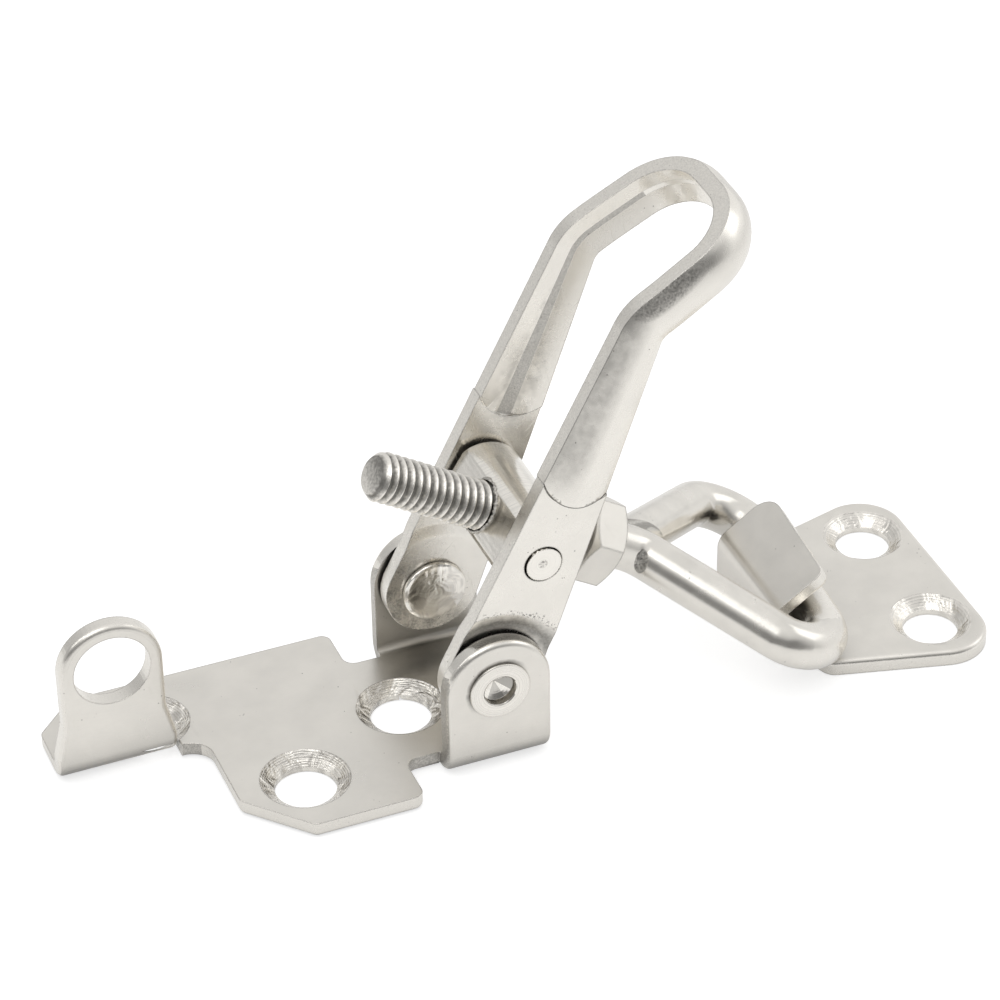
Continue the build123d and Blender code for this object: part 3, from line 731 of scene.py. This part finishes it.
def in_notch(at):
    """True in the notches beside the ears and beside the tab."""
    beside_ears = within(at.x, NECK_NOTCH[0]) and within(abs(at.y), NECK_NOTCH[1])
    beside_tab = within(at.x, TAB_NOTCH[0]) and within(at.y, TAB_NOTCH[1])
    return beside_ears or beside_tab


def blanked_base(face):
    """True on the cut edges of the base, its ears and its tab, but not on their bends."""
    normal, at = face.normal, face.center
    if abs(normal.x) > FACING:
        return True
    on_ears = abs(at.x) < EARS_REACH
    on_tab = at.x < TAB_FROM and within(at.y, TAB_SIDES)
    if on_ears or on_tab:
        return at.z > BENDS_BELOW and abs(normal.y) < FACING
    return abs(normal.z) < ASIDE


def blanked_keeper(face):
    """True on the cut edges of the keeper and its hook."""
    normal, at = face.normal, face.center
    if at.x < HOOK_BEND or at.z > SHEET_TOP:
        return abs(normal.y) > FACING or (at.z > HOOK_LIP and normal.x > ASIDE)
    return abs(normal.z) < ASIDE


def holed_plate(node, name, body, holes, flat, edge, sink, blanked):
    """Sheet piece with machined countersinks and blanked edges."""
    piece = finished_copy(node, name, body)
    sinks = [turned(f"{name} countersink {k}", hole, UPWARD, **sink) for k, hole in enumerate(holes)]
    torn = sheared_edge(f"{name} torn notch", tone=0.66, seed=9)

    def choose(face):
        k = in_sink(face.center, holes)
        if k is not None and abs(face.normal.z) < LYING and face.center.z < SHEET_TOP:
            return 3 + k
        if not blanked(face):
            return 0
        return 2 if in_notch(face.center) else 1

    paint(piece, [flat, edge, torn] + sinks, choose)


def base_and_keeper():
    flat = satin_sheet("satin base sheet", (AHEAD, ACROSS, UPWARD), tone=0.82, rough=0.33, seed=1,
                       marks=base_ring_shadows, shade=0.75)
    edge = sheared_edge("tumbled edge", tone=0.88, seed=1, torn=0.25)
    names = ("base_screw_near", "base_screw_neck", "base_screw_far")
    holes = [Vector(MOUNTS[name]["pos_m"]) for name in names]
    sink = {"tone": 0.92, "rough": 0.12, "pitch": 0.22 * MM, "depth": 0.06 * MM, "reflection_patches": 0.35}
    holed_plate("base_plate", "base_finish", "base", holes, flat, edge, sink, blanked_base)
    flat = satin_sheet("satin keeper sheet", (ACROSS, AHEAD, UPWARD), tone=0.83, rough=0.34, seed=4)
    screws = MOUNTS["keeper_screws"]
    half = ACROSS * screws["dims"]["spacing_y_mm"] / 2 * MM
    holes = [Vector(screws["pos_m"]) + half * side for side in (-1, 1)]
    sink = {"tone": 0.90, "rough": 0.20, "pitch": 0.30 * MM, "depth": 0.025 * MM, "reflection_patches": 0.2}
    holed_plate("keeper_plate", "keeper_finish", "keeper", holes, flat, edge, sink, blanked_keeper)


# ------------ lever
def crease_groove(mesh, tip_way):
    """Keeps the lines of the pressed groove inside the strap crisp."""
    work = bmesh.new()
    work.from_mesh(mesh)
    for edge in work.edges:
        if len(edge.link_faces) != 2:
            continue
        first, second = (face.normal for face in edge.link_faces)
        change = first - second
        middle = (edge.verts[0].co + edge.verts[1].co) / 2
        way = STRAP_WAY if (middle - PIVOT_AT).dot(LEG_WAY) < CRANK_AT else tip_way
        if change.length > CREASE_STEP and abs(change.normalized().dot(way)) > CREASE_ALONG:
            edge.smooth = False
    work.to_mesh(mesh)
    work.free()


def turned_way(angle):
    """The strap's width, turned about a line across the latch."""
    return (Matrix.Rotation(angle, 3, "Y") @ STRAP_WAY).normalized()


def strap_lever():
    edge_way = turned_way(EDGE_TURN)
    strap = satin_sheet("polished strap", (LEG_WAY, STRAP_WAY, ACROSS), tone=0.90, rough=0.26, seed=2,
                        marks=lever_marks, shade=0.2)
    torn = sheared_edge("sheared strap edge", tone=0.95, seed=2, torn=0.6)
    groove = sheared_edge("pressed groove", tone=0.60, seed=8, torn=0.8)
    piece = finished_copy("lever_handle", "lever_finish", "lever")
    crease_groove(piece.data, turned_way(TIP_TURN))

    def choose(face):
        normal, at, off = face.normal, face.center, face.center - PIVOT_AT
        in_bore = off.cross(ACROSS).length < PIVOT_BORE or (at - BARREL_AT).cross(ACROSS).length < PIN_BORE
        on_rim = abs(normal.y) < RIM_ASIDE and off.length < DISC_REACH
        on_edge = on_rim or abs(normal.dot(edge_way)) > EDGE_FACING
        if on_edge and not in_bore:
            return 1
        on_crown = off.dot(LEG_WAY) > GROOVE_FROM and at.x < GROOVE_TO
        inwards = normal.y * at.y < 0
        return 2 if on_crown and inwards and abs(normal.y) > GROOVE_FACING else 0

    paint(piece, [strap, torn, groove], choose)


# ------------ rivets, barrel and nut
def turned_rivet(name, side, finishes):
    """Solid of revolution through the pivot that follows RIVET_PROFILE; side is -1 near and 1 far."""
    angles = [2 * math.pi * k / RIVET_SIDES for k in range(RIVET_SIDES)]
    order = list(finishes)
    work = bmesh.new()
    before = None
    for finish, *points in RIVET_PROFILE:
        for radius, out in points:
            middle = Vector((PIVOT_AT.x, side * out * MM, PIVOT_AT.z))
            ways = [Vector((math.cos(a), 0, math.sin(a))) for a in angles] if radius else [Vector()]
            row = [work.verts.new(middle + way * radius * MM) for way in ways]
            if before:
                join_rows(work, before, row, order.index(finish))
            before = row
    return new_piece(name, "base", work, finishes.values(), RIVET_SMOOTH)


def join_rows(work, low, high, slot):
    """Faces between two rings of points; a ring of one point is a pole."""
    sides = max(len(low), len(high))
    for k in range(sides):
        after = (k + 1) % sides
        corners = [low[0]] if len(low) == 1 else [low[k], low[after]]
        corners += [high[0]] if len(high) == 1 else [high[after], high[k]]
        work.faces.new(corners).material_index = slot


def rivets():
    """Rivets with a clinched, drilled end outside and a domed head inside."""
    settings = {
        "formed rivet head": {"tone": 0.97, "rough": 0.10, "pitch": 0.5 * MM, "depth": 0.007 * MM,
                              "reflection_patches": 0.36},
        "clinched rivet ring": {"tone": 0.88, "rough": 0.26, "pitch": 0.4 * MM, "depth": 0.010 * MM},
        "drill point": {"tone": 0.98, "rough": 0.12, "pitch": 0.3 * MM, "depth": 0.004 * MM,
                        "sectors": 11},
        # the drilled wall's low tone is painted shade inside the hole
        "shaded drilled wall": {"tone": 0.50, "rough": 0.22, "pitch": 0.3 * MM, "depth": 0.010 * MM}}
    finishes = {name: turned(name, PIVOT_AT, ACROSS, **given) for name, given in settings.items()}
    for side, which in ((-1, "near"), (1, "far")):
        rivet = turned_rivet(f"rivet_{which}_finish", side, finishes)
        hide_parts(f"pivot_rivet_{which}")


def burr_ring(material):
    """Ragged burr that the tap left round the thread, on the barrel's flat."""
    rng = random.Random(5)
    start = BARREL_AT - ROD_WAY * BARREL_FLAT
    work = bmesh.new()
    rows = []
    for k in range(BURR_POINTS):
        angle = 2 * math.pi * k / BURR_POINTS
        way = ACROSS * math.cos(angle) + ROD_UP * math.sin(angle)
        tall = ROD_WAY * (BURR_TALL[0] + BURR_TALL[1] * rng.random())
        wide = BURR_WIDE[0] + BURR_WIDE[1] * rng.random()
        corners = (start + way * BURR_FOOT, start + way * BURR_CREST - tall,
                   start + way * (BURR_CREST + wide / 2) - tall * 0.8, start + way * (BURR_CREST + wide))
        rows.append([work.verts.new(corner) for corner in corners])
    for here, there in zip(rows, rows[1:] + rows[:1]):
        for k in range(4):
            after = (k + 1) % 4
            work.faces.new((here[k], here[after], there[after], there[k]))
    new_piece("barrel_burr", "trunnion", work, [material], BURR_SMOOTH)


def loose_pin_end(mesh):
    """The near pin stands in its hole off the middle, its end flush."""
    for vertex in mesh.vertices:
        off = vertex.co - BARREL_AT
        if off.y < -PIN_END:
            vertex.co.x = BARREL_AT.x + off.x * PIN_SHARE + PIN_OFF[0]
            vertex.co.y = -PIN_FACE
            vertex.co.z = BARREL_AT.z + off.z * PIN_SHARE + PIN_OFF[1]


def barrel():
    pin_steel = turned("turned pin steel", BARREL_AT, ACROSS, tone=0.95, rough=0.18, pitch=0.30 * MM,
                       depth=0.007 * MM, punch=PUNCH_MARK)
    piece = finished_copy("barrel", "barrel_finish", "trunnion")
    paint(piece, [pin_steel], lambda face: 0)
    loose_pin_end(piece.data)
    burr_ring(sheared_edge("torn burr", tone=0.8, seed=12))


def jam_nut():
    tumbled = satin_sheet("tumbled nut steel", (ROD_WAY, ACROSS, ROD_UP), tone=0.78, rough=0.36, seed=6,
                          edge=NUT_WEAR)
    piece = finished_copy("jam_nut", "nut_finish", "nut")
    paint(piece, [tumbled], lambda face: 0)


# ------------ threaded loop
def thread_tree():
    """Geometry Nodes: a grid rolled into a rod whose radius follows a helical thread."""
    tree = bpy.data.node_groups.new("helical thread", "GeometryNodeTree")
    panel = tree.interface
    panel.new_socket(name="Geometry", in_out="INPUT", socket_type="NodeSocketGeometry")
    for name in ("Start", "Length", "Outer Radius", "Root Radius", "Pitch", "Chamfer"):
        panel.new_socket(name=name, in_out="INPUT", socket_type="NodeSocketFloat")
    for name in ("Rows", "Sides"):
        panel.new_socket(name=name, in_out="INPUT", socket_type="NodeSocketInt")
    panel.new_socket(name="Material", in_out="INPUT", socket_type="NodeSocketMaterial")
    panel.new_socket(name="Geometry", in_out="OUTPUT", socket_type="NodeSocketGeometry")
    add, link = tree.nodes.new, tree.links.new
    given = add("NodeGroupInput").outputs
    out = add("NodeGroupOutput")

    def calc(operation, a, b=0.0, c=0.0):
        node = add("ShaderNodeMath")
        node.operation = operation
        for socket, value in zip(node.inputs, (a, b, c)):
            if isinstance(value, bpy.types.NodeSocket):
                link(value, socket)
            else:
                socket.default_value = value
        return node.outputs[0]

    grid = add("GeometryNodeMeshGrid")
    grid.inputs["Size X"].default_value = 1.0
    grid.inputs["Size Y"].default_value = 1.0
    link(given["Rows"], grid.inputs["Vertices X"])
    link(given["Sides"], grid.inputs["Vertices Y"])
    place = add("GeometryNodeInputPosition")
    apart = add("ShaderNodeSeparateXYZ")
    link(place.outputs[0], apart.inputs[0])

    # where a point lies along the rod and round it, and how deep the thread is there, 0 on its crest
    share = calc("ADD", apart.outputs[0], 0.5)
    round_share = calc("ADD", apart.outputs[1], 0.5)
    angle = calc("MULTIPLY", round_share, 2 * math.pi)
    along = calc("MULTIPLY_ADD", share, given["Length"], given["Start"])
    turns = calc("SUBTRACT", calc("DIVIDE", along, given["Pitch"]), round_share)
    saw = calc("ABSOLUTE", calc("MULTIPLY_ADD", calc("FRACT", turns), 2.0, -1.0))
    crest = calc("SMOOTH_MAX", calc("SUBTRACT", saw, CREST_FLAT), 0.0, CREST_ROUND)
    flank = calc("SMOOTH_MIN", calc("MULTIPLY", crest, FLANK_RISE), 1.0, ROOT_ROUND)
    deep = calc("MAXIMUM", calc("MINIMUM", flank, 1.0), 0.0)

    # radius there, with the free end's chamfer
    full = calc("SUBTRACT", given["Outer Radius"], given["Root Radius"])
    threaded = calc("SUBTRACT", given["Outer Radius"], calc("MULTIPLY", deep, full))
    end_radius = calc("SUBTRACT", given["Outer Radius"], given["Chamfer"])
    cone = calc("ADD", end_radius, calc("SUBTRACT", along, given["Start"]))
    radius = calc("MINIMUM", threaded, cone)
    joined = add("ShaderNodeCombineXYZ")
    link(along, joined.inputs[0])
    link(calc("MULTIPLY", radius, calc("COSINE", angle)), joined.inputs[1])
    link(calc("MULTIPLY", radius, calc("SINE", angle)), joined.inputs[2])

    keep = add("GeometryNodeStoreNamedAttribute")
    keep.data_type = "FLOAT"
    keep.domain = "POINT"
    keep.inputs["Name"].default_value = "depth"
    link(grid.outputs["Mesh"], keep.inputs["Geometry"])
    link(deep, keep.inputs["Value"])
    move = add("GeometryNodeSetPosition")
    link(keep.outputs["Geometry"], move.inputs["Geometry"])
    link(joined.outputs[0], move.inputs["Position"])
    merge = add("GeometryNodeMergeByDistance")
    merge.inputs["Distance"].default_value = MERGE / 2
    link(move.outputs["Geometry"], merge.inputs["Geometry"])
    real = add("GeometryNodeRealizeInstances")
    link(merge.outputs["Geometry"], real.inputs["Geometry"])
    dress = add("GeometryNodeSetMaterial")
    link(real.outputs[0], dress.inputs["Geometry"])
    link(given["Material"], dress.inputs["Material"])
    link(dress.outputs["Geometry"], out.inputs[0])
    return tree


def set_inputs(modifier, values):
    """Sets a Geometry Nodes modifier's inputs, given by name, through their identifiers."""
    for item in modifier.node_group.interface.items_tree:
        if item.item_type == "SOCKET" and item.in_out == "INPUT" and item.name in values:
            modifier[item.identifier] = values[item.name]


def rod_matrix():
    """Rod frame: X along the rod towards the loop, Y across the latch."""
    turn = Matrix((ROD_WAY, ACROSS, ROD_UP)).transposed().to_4x4()
    return Matrix.Translation(BARREL_AT) @ turn


def made_thread(material):
    """Plain mesh of the whole thread, in place, its two ends closed."""
    host = bpy.data.objects.new("thread_host", bpy.data.meshes.new("thread_host"))
    bpy.context.scene.collection.objects.link(host)
    modifier = host.modifiers.new("thread", "NODES")
    modifier.node_group = thread_tree()
    set_inputs(modifier, {
        "Start": -THREAD_FREE, "Length": THREAD_FREE + THREAD_STOP, "Outer Radius": THREAD_OUTER,
        "Root Radius": THREAD_ROOT, "Pitch": THREAD_PITCH, "Chamfer": THREAD_CHAMFER,
        "Rows": THREAD_ROWS, "Sides": THREAD_SIDES, "Material": material})
    bpy.context.view_layer.update()
    graph = bpy.context.evaluated_depsgraph_get()
    mesh = bpy.data.meshes.new_from_object(host.evaluated_get(graph))
    bpy.data.objects.remove(host)
    work = bmesh.new()
    work.from_mesh(mesh)
    bmesh.ops.holes_fill(work, edges=[e for e in work.edges if e.is_boundary], sides=0)
    bmesh.ops.recalc_face_normals(work, faces=work.faces)
    work.to_mesh(mesh)
    work.free()
    mesh.transform(rod_matrix())
    return mesh


def threaded_loop():
    """Loop bolt: the CAD wire beyond the thread and the helical thread, in one mesh."""
    wire = drawn_wire("drawn wire", (AHEAD, ACROSS, UPWARD), tone=0.80, rough=0.23, seed=5)
    thread = rolled_thread("rolled thread", tone=0.74)
    mesh = finished_copy("loop_bolt", "loop_bolt_finish", "bolt").data
    mesh.materials.append(wire)
    mesh.materials.append(thread)
    work = bmesh.new()
    work.from_mesh(mesh)
    bmesh.ops.bisect_plane(work, geom=work.verts[:] + work.edges[:] + work.faces[:], dist=MERGE / 2,
                           plane_co=BARREL_AT + ROD_WAY * THREAD_STOP, plane_no=ROD_WAY, clear_inner=True)
    work.verts.layers.float.new("depth")
    for face in work.faces:
        face.material_index = 0
    before = len(work.faces)
    work.from_mesh(made_thread(thread))
    work.faces.ensure_lookup_table()
    for face in work.faces[before:]:
        face.material_index = 1
        face.smooth = len(face.verts) < 5
    work.to_mesh(mesh)
    work.free()
    mesh.set_sharp_from_angle(angle=math.radians(THREAD_SMOOTH))


# ------------ floor, light and camera
def floor_material():
    """Pale floor, lifted to white for the camera and, by less, for what polished metal mirrors of it, in a
    painted pool of light.
    """
    n = new_material("pale floor")
    rays = n.add("ShaderNodeLightPath")
    paper = n.noise(n.place(), 300.0, detail=3.0)
    matt = n.add("ShaderNodeBsdfDiffuse")
    n.set(matt.inputs["Color"], n.mix_colour(paper, grey(0.60), grey(0.63)))
    far = n.vector_math("LENGTH", n.place_from(POOL_MIDDLE))
    # painted pool of light: mirror rays see the floor glow brighter near the latch
    glossy = n.times(rays.outputs["Is Glossy Ray"], n.ramp(far, *POOL, *MIRROR_LIFT))
    seen = n.times(rays.outputs["Is Camera Ray"], CAMERA_LIFT)
    lift = n.add("ShaderNodeEmission")
    n.set(lift.inputs["Strength"], n.plus(seen, glossy))
    both = n.add("ShaderNodeAddShader")
    n.link(matt.outputs[0], both.inputs[0])
    n.link(lift.outputs[0], both.inputs[1])
    n.link(both.outputs[0], n.output.inputs["Surface"])
    return n.owner


def floor():
    mesh = bpy.data.meshes.new("floor")
    work = bmesh.new()
    bmesh.ops.create_grid(work, x_segments=2, y_segments=2, size=FLOOR_HALF)
    work.to_mesh(mesh)
    work.free()
    plane = bpy.data.objects.new("floor", mesh)
    plane.location.z = CAD_BOX[0].z - FLOOR_GAP
    mesh.materials.append(floor_material())
    bpy.context.scene.collection.objects.link(plane)


def heading(azimuth, elevation):
    """Direction from the latch, azimuth clockwise from +Y, both in degrees."""
    a, e = math.radians(azimuth), math.radians(elevation)
    return Vector((math.sin(a) * math.cos(e), math.cos(a) * math.cos(e), math.sin(e)))


def mixed(n, share, a, b):
    """a where share is 0, b where it is 1."""
    return n.plus(n.times(a, n.less(1.0, share)), n.times(share, b))


def world():
    """Studio surround: bright overhead and to the right, dim behind the camera, white to the camera."""
    surround = bpy.data.worlds.new("studio surround")
    bpy.context.scene.world = surround
    n = Nodes(surround, "ShaderNodeOutputWorld")
    rays = n.add("ShaderNodeLightPath")
    way = n.vector_math("NORMALIZE", n.add("ShaderNodeTexCoord").outputs["Generated"])
    height = n.apart(way)[2]
    right = n.dot(way, heading(SURROUND_RIGHT, 0))
    front = n.dot(way, heading(SURROUND_FRONT, 0))
    level = n.plus(n.ramp(right, -0.9, 0.9, SURROUND["left"], SURROUND["right"]),
                   n.ramp(front, -0.3, -0.9, 0.0, SURROUND["back"]))
    behind_camera = n.times(n.ramp(front, 0.05, 0.7), n.ramp(height, 0.80, 0.45))
    level = mixed(n, behind_camera, level, SURROUND["front"])
    level = mixed(n, n.ramp(height, 0.5, 0.95), level, SURROUND["over"])
    room = n.add("ShaderNodeBackground")
    room.inputs["Color"].default_value = grey(1.0)
    n.link(n.most(level, rays.outputs["Is Camera Ray"]), room.inputs["Strength"])
    n.link(room.outputs[0], n.output.inputs["Surface"])


def softbox(name, azimuth, elevation, width, height, brightness):
    """Area lamp seen from the latch in a direction; brightness is what a mirror would show of it."""
    way = heading(azimuth, elevation)
    light = bpy.data.lights.new(name, "AREA")
    light.shape = "RECTANGLE"
    light.size = width
    light.size_y = height
    light.energy = brightness * math.pi * width * height
    lamp = bpy.data.objects.new(name, light)
    lamp.location = (CAD_BOX[0] + CAD_BOX[1]) / 2 + way * LAMP_DISTANCE
    lamp.rotation_euler = (-way).to_track_quat("-Z", "Y").to_euler()
    bpy.context.scene.collection.objects.link(lamp)


def camera():
    a, t, r = CAMERA_AZIMUTH, CAMERA_TILT, CAMERA_ROLL
    ahead = Vector((math.sin(a) * math.cos(t), math.cos(a) * math.cos(t), -math.sin(t)))
    right = Vector((math.cos(a), -math.sin(a), 0))
    up = right.cross(ahead)
    level_right = right * math.cos(r) + up * math.sin(r)
    level_up = up * math.cos(r) - right * math.sin(r)
    seen = bpy.data.cameras.new("camera")
    seen.lens = CAMERA_LENS
    seen.sensor_width = CAMERA_SENSOR
    seen.clip_start = 0.01
    seen.clip_end = 20.0
    body = bpy.data.objects.new("camera", seen)
    turn = Matrix((level_right, level_up, -ahead)).transposed().to_4x4()
    body.matrix_world = Matrix.Translation(CAMERA_AT) @ turn
    bpy.context.scene.collection.objects.link(body)
    bpy.context.scene.camera = body


bpy.context.scene.view_settings.view_transform = "Standard"
camera()
base_and_keeper()
strap_lever()
barrel()
rivets()
jam_nut()
threaded_loop()
floor()
world()
for lamp_settings in LAMPS:
    softbox(*lamp_settings)
